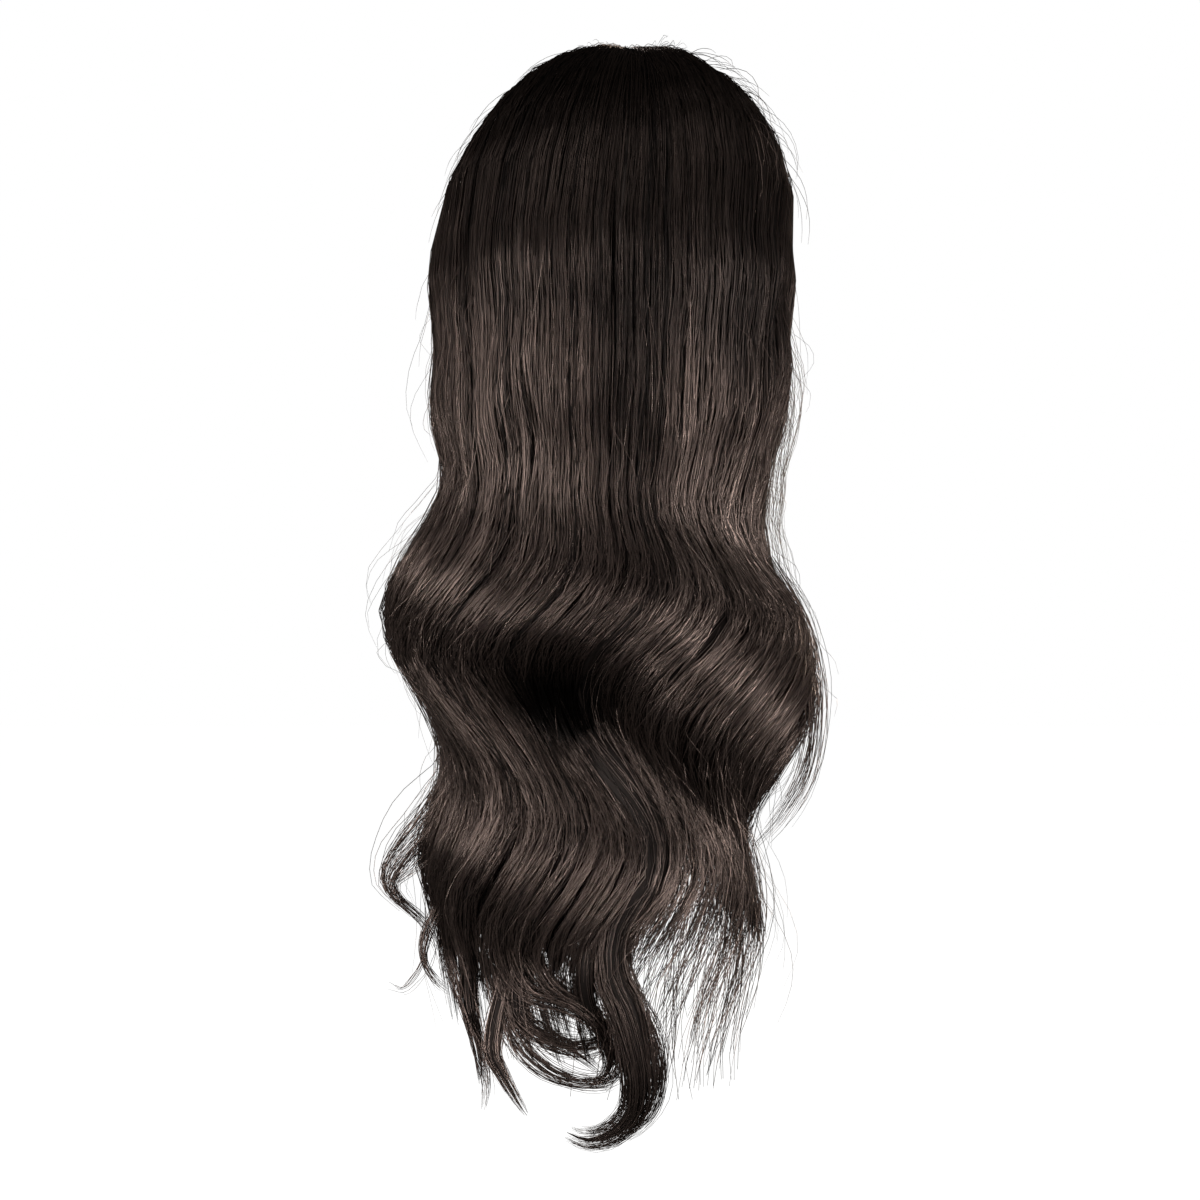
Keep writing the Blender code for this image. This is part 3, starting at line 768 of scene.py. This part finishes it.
def section_core(section, material):
    """The body of a section under its strands, painted dark as shade: a wall with low
    ridges, thin at its ragged lower edge."""
    rows = CORE_HEAD_ROWS + CORE_FALL_ROWS
    bm = bmesh.new()
    bmesh.ops.create_grid(bm, x_segments=CORE_COLUMNS, y_segments=rows, size=0.5)
    bmesh.ops.translate(bm, verts=bm.verts, vec=(0.5, 0.5, 0))
    outer = bmesh.ops.extrude_face_region(bm, geom=bm.faces[:])["geom"]
    lifted = [item for item in outer if isinstance(item, bmesh.types.BMVert)]
    bmesh.ops.translate(bm, verts=lifted, vec=(0, 0, 1))
    # Every corner of the core takes its low lightness, painted shade
    layer = bm.loops.layers.uv.new("OFBake")
    for face in bm.faces:
        for loop in face.loops:
            loop[layer].uv = (loop.vert.co.x, CORE_LIGHTNESS)

    across, height, out = np.array([vert.co for vert in bm.verts]).T
    row = np.round((1 - height) * rows)
    over = np.clip(row / CORE_HEAD_ROWS, 0, 1)
    down = np.clip((row - CORE_HEAD_ROWS) / CORE_FALL_ROWS, 0, 1)
    around = mix(section.start, section.end, across)
    middles = (np.arange(len(section.tips)) + 0.5) / len(section.tips)
    ragged = CORE_RAGGED * np.sin(around * 47) * np.sin(around * 19 + 1)
    tip = np.interp(across, middles, section.tips) - CORE_TIP_SHORT + ragged
    head_z = -CROWN_RISE * (1 - np.cos(over * np.pi / 2))
    z = np.where(over < 1, head_z, -mix(CROWN_RISE, HAIR_DROP * tip, down))
    waves = np.sin(around * 90 + 2 * np.sin(z * 23 + section.start * 9))
    ridge = CORE_RIDGE * waves * smooth(over / 0.3)
    depth = mix(CORE_BASE, CORE_TOP + ridge - GROOVE_DEPTH * lying_apart(around, z), out)
    depth = mix(depth, mix(0.5, depth, 0.1), ease(down, 0.7, 0.3))
    half = 1 if section.start >= 0 else -1
    head = head_hair(around, over, depth, half)
    fall = fall_hair(around, np.minimum(z, -CROWN_RISE), depth)
    placed = np.where((over < 1)[:, None], head, fall)
    for vert, place in zip(bm.verts, placed):
        vert.co = place
    bmesh.ops.recalc_face_normals(bm, faces=bm.faces)
    mesh = bpy.data.meshes.new(section.name + "_core")
    bm.to_mesh(mesh)
    bm.free()
    mesh.shade_smooth()
    return make_object(section.name + "_core", mesh, material)


def free_lock_course(lock, points=26):
    """Places and girth shares down a free lock, from high in the curtain to its tip."""
    around, drop = lock.root
    root_z = -HAIR_DROP * drop
    lead = np.linspace(root_z + LOCK_LEAD, root_z, 6)[:-1]
    fan = np.linspace(LOCK_FAN, 1.0, len(lead) + 1)
    guide = []
    for z, spread in zip(lead, fan):
        guide.append((*fall_hair(np.array(around), np.array(z), np.array(0.6)), spread))
    root = fall_hair(np.array(around), np.array(root_z), np.array(0.5))
    for left, down, back, girth in lock.course:
        step = lock.length * np.array([left, back, -down])
        guide.append((*(root + step), girth))
    return smooth_course(guide, points)


def frames_along(course):
    """Unit directions to the side of a course and out of it."""
    along = np.gradient(course[:, :3], axis=0)
    along /= np.linalg.norm(along, axis=1, keepdims=True)
    side = np.cross(along, (0.15, 1.0, 0.1))
    side /= np.linalg.norm(side, axis=1, keepdims=True)
    return side, np.cross(side, along)


def cut_short(paths, stop):
    """The same number of points over the first part of each path."""
    count, points, _ = paths.shape
    place = stop[:, None] * np.linspace(0, 1, points) * (points - 1)
    low = np.minimum(place.astype(int), points - 2)
    part = (place - low)[..., None]
    row = np.arange(count)[:, None]
    return paths[row, low] * (1 - part) + paths[row, low + 1] * part


def free_lock_strands(lock, settings, rng):
    """Strands that follow the curtain down to a free lock's root and then its course."""
    course = free_lock_course(lock)
    points = len(course)
    side, up = frames_along(course)
    count = lock.strands
    run = np.linspace(0, 1, points)
    reach = np.sqrt(rng.uniform(0.35, 1.0, (count, 1)))
    bearing = rng.uniform(0, 2 * np.pi, (count, 1)) + 1.6 * run
    bearing = bearing + waver(rng, count, points, 1) * 0.3
    girth = lock.girth * np.clip(course[:, 3], LEAST_GIRTH, None)
    spread = reach * girth * (1 + 0.18 * waver(rng, count, points, 2))
    offset = np.cos(bearing)[..., None] * side + 0.8 * np.sin(bearing)[..., None] * up
    paths = course[None, :, :3] + spread[..., None] * offset
    paths = cut_short(paths, rng.uniform(0.84, 1.0, count))
    return finished(rng, paths, settings.strand_width, (0.7, 1.1), (0.3, 0.85, 0.25))


def free_lock_core(lock):
    """A rod inside a free lock, dark as painted shade."""
    course = free_lock_course(lock)
    girth = lock.girth * np.clip(course[:, 3], LEAST_GIRTH, None) * ROD_GIRTH
    run = np.linspace(0, 1, len(course))
    ends = np.interp(run, (0, 0.06, 0.6, 0.85, 1), (0.1, 1, 1, 0.4, 0.05))
    tone = np.array([TONES // 2])
    return course[None, :, :3], (girth * ends)[None], tone, np.full((1, 1), ROD_LIGHTNESS)


def loose_wisp_strands(wisp, settings, rng, points=16):
    """Strands that leave the hair and follow a wisp's course."""
    course = smooth_course(wisp.course, points)
    side, up = frames_along(course)
    count = wisp.strands
    scatter = rng.normal(0, 0.6, (count, 2, 1))
    bends = [waver(rng, count, points, 1.3), waver(rng, count, points, 1.3)]
    spread = course[:, 3] * (scatter + 0.35 * np.stack(bends, 1))
    paths = course[None, :, :3] + spread[:, 0, :, None] * side + spread[:, 1, :, None] * up
    paths = cut_short(paths, rng.uniform(0.7, 1.0, count))
    return finished(rng, paths, settings.wisp_width, (0.7, 1.2), (0.4, 0.8, 0.35), (0.15, 0.65))


def thin_end_strands(settings, rng, count=250, points=14):
    """Sparse long ends under the shorter hair at the wearer's right."""
    run = np.linspace(0, 1, points)
    around = rng.uniform(*THIN_ENDS_AROUND, (count, 1))
    tip = HAIR_DROP * rng.uniform(*THIN_ENDS_TIPS, (count, 1))
    depth = rng.uniform(0.1, 0.9, (count, 1)) + waver(rng, count, points, 1.2) * 0.10
    around = around + waver(rng, count, points, 1.2) * 0.035 * mix(0.2, 1, run)
    around = around + rng.uniform(0.02, 0.16, (count, 1)) * run**3
    swing = rng.uniform(0.4, 1.0, (count, 1))
    shift = rng.normal(0, 0.012, (count, 1))
    paths = fall_hair(around, -mix(THIN_ENDS_TOP, tip, run), depth, shift, swing)
    return finished(rng, paths, settings.wisp_width, (0.7, 1.3), (0.4, 0.95, 0.6))


def stray_strands(settings, rng, count=400, points=9):
    """Single hairs that stand off the outline."""
    run = np.linspace(0, 1, points)
    around = rng.uniform(0.0, 1.0, (count, 1)) * rng.choice([-1, 1], (count, 1))
    around = around + rng.normal(0, 0.05, (count, 1)) * run
    root = rng.uniform(*STRAY_ROOTS, (count, 1))
    z = -(root + rng.uniform(*STRAY_LENGTHS, (count, 1)) * run)
    base = fall_hair(around, z, np.full_like(z, 0.97))
    outward = base * (1, 1, 0)
    outward /= np.linalg.norm(outward, axis=-1, keepdims=True)
    lift = rng.uniform(*STRAY_LIFTS, (count, 1))
    lift = lift * np.sin(run * rng.uniform(1.2, 3.0, (count, 1))) ** 1.5
    paths = base + outward * lift[..., None]
    paths[..., 2] += waver(rng, count, points, 1) * 0.004 * run
    return finished(rng, paths, settings.wisp_width * STRAY_WIDTH, (0.7, 1.2), (0.6, 0.9, 0.4))


def crown_hairs(settings, rng, hairs):
    """Hairs that stand off the hair over the cap, most of them at the wearer's right."""
    count, points = hairs.count, hairs.points
    side = np.where(rng.random((count, 1)) < 0.75, -1, 1)
    run = np.linspace(0, 1, points)
    around = side * rng.uniform(*hairs.reach, (count, 1))
    around = around + waver(rng, count, points, 1.2) * 0.012 * run
    share = rng.uniform(*hairs.starts, (count, 1)) + rng.uniform(*hairs.lengths, (count, 1)) * run
    lift = rng.uniform(*hairs.lifts, (count, 1)) * np.sin(run * rng.uniform(1.2, 3.0, (count, 1)))
    paths = head_hair(around, np.clip(share, 0, 1), 0.96 + lift, side)
    return finished(rng, paths, settings.wisp_width, (0.45, 0.85), (0.6, 0.9, 0.4))


def crown_fuzz_strands(settings, rng):
    """Short hairs along the parting."""
    return crown_hairs(settings, rng, CROWN_FUZZ)


def crown_stray_strands(settings, rng):
    """Longer stray hairs over the side of the head."""
    return crown_hairs(settings, rng, CROWN_STRAYS)


def edge_glow_strands(settings, rng, count=40, points=16):
    """Fine hairs that rise out of the hair at the wearer's right edge, coloured light brown as a
    painted glow of light through them.
    """
    run = np.linspace(0, 1, points)
    around = rng.uniform(*EDGE_HAIRS_AROUND, (count, 1))
    around = around + waver(rng, count, points, 1.0) * 0.012
    top = rng.uniform(*EDGE_HAIRS_TOPS, (count, 1))
    end = rng.uniform(*EDGE_HAIRS_ENDS, (count, 1))
    stand = rng.uniform(1.00, 1.34, (count, 1)) + waver(rng, count, points, 1.5) * 0.05
    depth = mix(0.6, stand, smooth(run / 0.3))
    paths = fall_hair(around, -mix(top, end, run), depth)
    return finished(rng, paths, settings.wisp_width, (0.5, 0.9), (0.2, 0.9, 0.3))


class Shader:
    """Adds and links nodes of one material."""

    def __init__(self, name):
        self.material = bpy.data.materials.new(name)
        self.material.use_nodes = True
        self.tree = self.material.node_tree
        self.principled = self.tree.nodes["Principled BSDF"]

    def add(self, kind, settings=None, **properties):
        """A node with its properties, and the numbers of its named inputs."""
        node = self.tree.nodes.new(kind)
        for key, value in properties.items():
            setattr(node, key, value)
        for key, value in (settings or {}).items():
            node.inputs[key].default_value = value
        return node

    def join(self, source, target):
        self.tree.links.new(source, target)

    def pattern(self, kind, settings, output, **properties):
        """A texture over the piece's own place in space."""
        place = self.add("ShaderNodeTexCoord")
        node = self.add(kind, settings, **properties)
        self.join(place.outputs["Object"], node.inputs["Vector"])
        return node.outputs[output]

    def bands(self, settings):
        """Level bands up the piece."""
        return self.pattern(
            "ShaderNodeTexWave",
            settings,
            "Fac",
            wave_type="BANDS",
            bands_direction="Z",
            wave_profile="SIN",
        )

    def net(self, scale, unevenness):
        """Cells of a net: the distance to their threads."""
        cells = {"Scale": scale, "Randomness": unevenness}
        reach = "DISTANCE_TO_EDGE"
        return self.pattern("ShaderNodeTexVoronoi", cells, "Distance", feature=reach)

    def put(self, **values):
        """Sets the surface's own numbers and colours."""
        for key, value in values.items():
            self.principled.inputs[key.replace("_", " ")].default_value = value

    def ramp(self, factor, *stops):
        """A colour between stops, each a position and a colour, by a factor."""
        node = self.add("ShaderNodeValToRGB")
        elements = node.color_ramp.elements
        for number, (position, colour) in enumerate(stops):
            element = elements[number] if number < 2 else elements.new(position)
            element.position = position
            element.color = (*colour, 1)
        self.join(factor, node.inputs["Fac"])
        return node.outputs["Color"]

    def two_tone(self, factor, low, high, dark, light):
        """Colours between dark and light by a factor, on the base colour."""
        colour = self.ramp(factor, (low, dark), (high, light))
        self.join(colour, self.principled.inputs["Base Color"])

    def spread(self, noise, least, most):
        """A number between least and most for each strand."""
        low, high = NOISE_SPAN
        settings = {"From Min": low, "From Max": high, "To Min": least, "To Max": most}
        node = self.add("ShaderNodeMapRange", settings)
        self.join(noise.outputs["Fac"], node.inputs["Value"])
        return node.outputs["Result"]

    def raise_surface(self, height, distance, strength=1.0):
        """Bump from a height."""
        bump = self.add("ShaderNodeBump", {"Distance": distance, "Strength": strength})
        self.join(height, bump.inputs["Height"])
        self.join(bump.outputs["Normal"], self.principled.inputs["Normal"])


def hair_material(settings, name, brightness, roughness):
    """Hair with a tone of its own on each strand. The first coordinate of the map is
    the tone, and the second is how light the hair is, from painted shade at its low end
    through the root colour to a brighter colour at the end."""
    shader = Shader(name)
    uv = shader.add("ShaderNodeUVMap", uv_map="OFBake")
    split = shader.add("ShaderNodeSeparateXYZ")
    shader.join(uv.outputs[0], split.inputs[0])
    root, tip = np.array(settings.root_colour), np.array(settings.tip_colour)
    # Painted shade at the low end of the lightness
    deepest_shade = root * brightness * DEEPEST_SHADE_SHARE
    stops = (DEEPEST_SHADE_AT, deepest_shade), (1.0, tip * brightness), (ROOT_AT, root * brightness)
    colour = shader.ramp(split.outputs["Y"], *stops)
    noise = shader.add(
        "ShaderNodeTexNoise", {"Scale": TONES * TONE_SPACING, "Detail": 1}, noise_dimensions="1D"
    )
    shader.join(split.outputs["X"], noise.inputs["W"])
    shade = shader.add("ShaderNodeVectorMath", operation="SCALE")
    shader.join(colour, shade.inputs[0])
    shader.join(shader.spread(noise, *STRAND_TONES), shade.inputs["Scale"])
    shader.join(shade.outputs["Vector"], shader.principled.inputs["Base Color"])
    gloss = shader.spread(noise, *(roughness + change for change in STRAND_GLOSS))
    shader.join(gloss, shader.principled.inputs["Roughness"])
    shader.put(IOR=HAIR_IOR, Metallic=COLOURED_SHINE, Specular_Tint=SHINE_TINT)
    return shader.material


def plain_hair_material(name, colour, roughness):
    """Hair of one colour with a tone of its own on each strand."""
    shader = Shader(name)
    uv = shader.add("ShaderNodeUVMap", uv_map="OFBake")
    noise = shader.add("ShaderNodeTexNoise", {"Scale": 40}, noise_dimensions="2D")
    shader.join(uv.outputs[0], noise.inputs["Vector"])
    shader.two_tone(noise.outputs["Fac"], *NOISE_SPAN, [c * 0.5 for c in colour], colour)
    shader.put(Roughness=roughness, IOR=HAIR_IOR)
    return shader.material


def lace_material():
    """Fine skin-coloured net with small six-sided holes."""
    shader = Shader("lace_net")
    threads = shader.net(850, 0.25)
    shader.two_tone(threads, 0.06, 0.16, (0.42, 0.27, 0.185), (0.13, 0.075, 0.05))
    shader.raise_surface(threads, 0.0002, -1.0)
    shader.put(Roughness=0.75, Sheen_Weight=0.2)
    return shader.material


def weft_material():
    """Dark stretch net with the sewn rows of the wefts."""
    shader = Shader("weft_net")
    rows = shader.bands({"Scale": 36, "Distortion": 0.6, "Detail Scale": 3})
    threads = shader.net(520, 0.3)
    sewn = shader.add("ShaderNodeMath", {1: 6}, operation="POWER")
    shader.join(rows, sewn.inputs[0])
    both = shader.add("ShaderNodeMath", operation="SUBTRACT")
    shader.join(sewn.outputs[0], both.inputs[0])
    shader.join(threads, both.inputs[1])
    shader.two_tone(both.outputs[0], -0.3, 0.9, (0.010, 0.008, 0.007), (0.06, 0.045, 0.036))
    shader.raise_surface(both.outputs[0], 0.0008)
    shader.put(Roughness=0.8, Sheen_Weight=0.15)
    return shader.material


def elastic_material():
    """Ribbed black elastic."""
    shader = Shader("ribbed_elastic")
    ribs = shader.bands({"Scale": 190})
    shader.two_tone(ribs, 0.1, 0.9, (0.008, 0.007, 0.007), (0.035, 0.030, 0.028))
    shader.raise_surface(ribs, 0.0004)
    shader.put(Roughness=0.7, Sheen_Weight=0.2)
    return shader.material


def area_light(light):
    """A soft box at its place, turned to its aim."""
    data = bpy.data.lights.new(light.name, "AREA")
    data.shape = "RECTANGLE"
    data.size, data.size_y = light.size
    data.energy = light.power
    data.color = light.colour
    placed = bpy.data.objects.new(light.name, data)
    bpy.context.scene.collection.objects.link(placed)
    placed.location = light.place
    gaze = np.array(light.aim, float) - np.array(light.place, float)
    yaw = math.atan2(gaze[1], gaze[0]) - math.pi / 2
    pitch = math.atan2(gaze[2], math.hypot(gaze[0], gaze[1])) + math.pi / 2
    placed.rotation_euler = (pitch, 0, yaw)


def length_setting(name, default, description):
    return bpy.props.FloatProperty(
        name=name, description=description, default=default, unit="LENGTH"
    )


def colour_setting(name, default, description):
    return bpy.props.FloatVectorProperty(
        name=name, description=description, default=default, subtype="COLOR"
    )


class WigSettings(bpy.types.PropertyGroup):
    """Sizes and colours of the strands."""

    strand_width: length_setting(
        "Strand width",
        0.00050,
        "Thickness of one modelled strand, which stands for a few real hairs",
    )
    wisp_width: length_setting(
        "Wisp width", 0.00042, "Thickness of a strand in the wisps and thin ends"
    )
    locks_per_section: bpy.props.IntProperty(
        name="Locks", description="Locks in each section of hair", default=16, min=3
    )
    strands_per_lock: bpy.props.IntProperty(
        name="Strands in a lock", description="Strands in each lock", default=49, min=3
    )
    lock_scatter: length_setting(
        "Wave scatter", 0.004, "How far one lock's wave lies above or below the next one's"
    )
    loose_share: bpy.props.FloatProperty(
        name="Loose strands",
        description="Share of the strands that stray from their lock",
        default=0.12,
        subtype="FACTOR",
    )
    frizz: length_setting("Frizz", 0.0011, "Size of each strand's own bends")
    root_colour: colour_setting(
        "Root colour", (0.022, 0.0155, 0.0130), "Colour of the hair near the parting"
    )
    tip_colour: colour_setting(
        "Tip colour", (0.060, 0.0440, 0.0375), "Colour of the hair at its ends"
    )
    pale_colour: colour_setting(
        "Parting hairs", (0.17, 0.175, 0.18), "Colour of the short hairs along the parting"
    )
    # Painted glow: the edge hairs are coloured lighter than the rest of the hair, standing for
    # light shining through them
    edge_glow_colour: colour_setting(
        "Edge hairs",
        (0.095, 0.070, 0.054),
        "Colour of the fine hairs that rise at the right edge",
    )
    seed: bpy.props.IntProperty(name="Seed", description="Picks the scatter of strands", default=7)


class WIG_OT_cores(bpy.types.Operator):
    """Build the dark body under each section's strands"""

    bl_idname = "wig.cores"
    bl_label = "Cores"

    def execute(self, context):
        # The cores take a darker copy of the hair's colours, as painted shade
        material = hair_material(context.scene.wig, "hair_core", brightness=0.45, roughness=0.55)
        for section in SECTIONS:
            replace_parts(section_core(section, material), section.name)
        return {"FINISHED"}


class WIG_OT_strands(bpy.types.Operator):
    """Grow the strands of every section and free lock"""

    bl_idname = "wig.strands"
    bl_label = "Strands"

    def execute(self, context):
        settings = context.scene.wig
        material = hair_material(settings, "hair_strands", brightness=1.0, roughness=0.34)
        # The lock cores take a darker copy of the hair's colours, as painted shade
        core = hair_material(settings, "hair_lock_core", brightness=0.45, roughness=0.55)
        for number, section in enumerate(SECTIONS):
            rng = np.random.default_rng([settings.seed, number])
            grown = section_strands(section, settings, rng)
            strand_object(section.name + "_strands", *grown, material)
        for number, lock in enumerate(TAIL_LOCKS):
            rng = np.random.default_rng([settings.seed, 50 + number])
            strand_object(lock.name, *free_lock_strands(lock, settings, rng), material)
            strand_object(lock.name + "_core", *free_lock_core(lock), core, sides=8)
        return {"FINISHED"}


class WIG_OT_wisps(bpy.types.Operator):
    """Grow the wisps, thin ends and single stray hairs"""

    bl_idname = "wig.wisps"
    bl_label = "Wisps"

    def execute(self, context):
        settings = context.scene.wig
        dark = hair_material(settings, "hair_wisps", brightness=1.2, roughness=0.40)
        for number, wisp in enumerate(WISPS):
            rng = np.random.default_rng([settings.seed, 80 + number])
            strand_object(wisp.name, *loose_wisp_strands(wisp, settings, rng), dark)
        pale = plain_hair_material("hair_roots_pale", settings.pale_colour, roughness=0.45)
        # The edge hairs' lighter colour is a painted glow of light through them
        light = plain_hair_material("hair_edge_light", settings.edge_glow_colour, roughness=0.45)
        single_hairs = (
            ("thin_ends", thin_end_strands, dark),
            ("stray_hairs", stray_strands, dark),
            ("crown_fuzz", crown_fuzz_strands, pale),
            ("crown_strays", crown_stray_strands, dark),
            ("edge_light_hairs", edge_glow_strands, light),
        )
        for number, (name, grow, material) in enumerate(single_hairs):
            rng = np.random.default_rng([settings.seed, 90 + number])
            strand_object(name, *grow(settings, rng), material)
        return {"FINISHED"}


class WIG_OT_cap(bpy.types.Operator):
    """Give the cap its lace, net and elastic finishes"""

    bl_idname = "wig.cap"
    bl_label = "Cap finishes"

    def execute(self, context):
        for node, material in (
            ("lace_front", lace_material()),
            ("weft_cap", weft_material()),
            ("nape_band", elastic_material()),
        ):
            bpy.data.objects[node].material_slots[0].material = material
        return {"FINISHED"}


class WIG_OT_stage(bpy.types.Operator):
    """Add the floor, the soft lights and the camera"""

    bl_idname = "wig.stage"
    bl_label = "Studio"

    def execute(self, context):
        low = CAD_BOUNDS[0][2] - FLOOR_GAP
        bm = bmesh.new()
        bmesh.ops.create_grid(bm, x_segments=1, y_segments=1, size=STAGE_SIZE / 2)
        bmesh.ops.translate(bm, verts=bm.verts, vec=(0, 0, low))
        mesh = bpy.data.meshes.new("floor")
        bm.to_mesh(mesh)
        bm.free()
        white = Shader("floor_white")
        white.put(Base_Color=(0.05, 0.05, 0.05, 1), Roughness=0.9, Specular_IOR_Level=0.0)
        white.put(Emission_Color=(1, 1, 1, 1), Emission_Strength=FLOOR_GLOW)
        mesh.materials.append(white.material)
        floor = bpy.data.objects.new("floor", mesh)
        floor.visible_diffuse = False
        floor.visible_glossy = False
        context.scene.collection.objects.link(floor)

        world = bpy.data.worlds.new("studio")
        context.scene.world = world
        world.use_nodes = True
        nodes, links = world.node_tree.nodes, world.node_tree.links
        seen = nodes.new("ShaderNodeLightPath")
        strength = nodes.new("ShaderNodeMapRange")
        strength.inputs["To Min"].default_value = AMBIENT
        strength.inputs["To Max"].default_value = 1.0
        backdrop = nodes["Background"]
        links.new(seen.outputs["Is Camera Ray"], strength.inputs["Value"])
        links.new(strength.outputs["Result"], backdrop.inputs["Strength"])
        backdrop.inputs["Color"].default_value = (1, 1, 1, 1)

        for light in LIGHTS:
            area_light(light)

        data = bpy.data.cameras.new("camera")
        data.lens = CAMERA_LENS
        camera = bpy.data.objects.new("camera", data)
        camera.location = (CAMERA_SIDE, CAMERA_DISTANCE, CAMERA_HEIGHT)
        camera.rotation_euler = (math.pi / 2, 0, math.pi)
        context.scene.collection.objects.link(camera)
        context.scene.camera = camera
        context.scene.view_settings.view_transform = "Standard"
        return {"FINISHED"}


class WIG_PT_sidebar(bpy.types.Panel):
    """Lists the wig's pieces and sizes"""

    bl_idname = "WIG_PT_sidebar"
    bl_label = "Wig"
    bl_space_type = "VIEW_3D"
    bl_region_type = "UI"
    bl_category = "Wig"

    def draw(self, context):
        for name in WigSettings.__annotations__:
            self.layout.prop(context.scene.wig, name)
        for operator in OPERATORS:
            self.layout.operator(operator.bl_idname)


OPERATORS = (WIG_OT_cap, WIG_OT_cores, WIG_OT_strands, WIG_OT_wisps, WIG_OT_stage)
CLASSES = (WigSettings, *OPERATORS, WIG_PT_sidebar)


def register():
    for each in CLASSES:
        bpy.utils.register_class(each)
    bpy.types.Scene.wig = bpy.props.PointerProperty(type=WigSettings)


def unregister():
    del bpy.types.Scene.wig
    for each in reversed(CLASSES):
        bpy.utils.unregister_class(each)


def main():
    register()
    bpy.ops.wig.cap()
    bpy.ops.wig.cores()
    bpy.ops.wig.strands()
    bpy.ops.wig.wisps()
    bpy.ops.wig.stage()


if __name__ == "__main__":
    main()
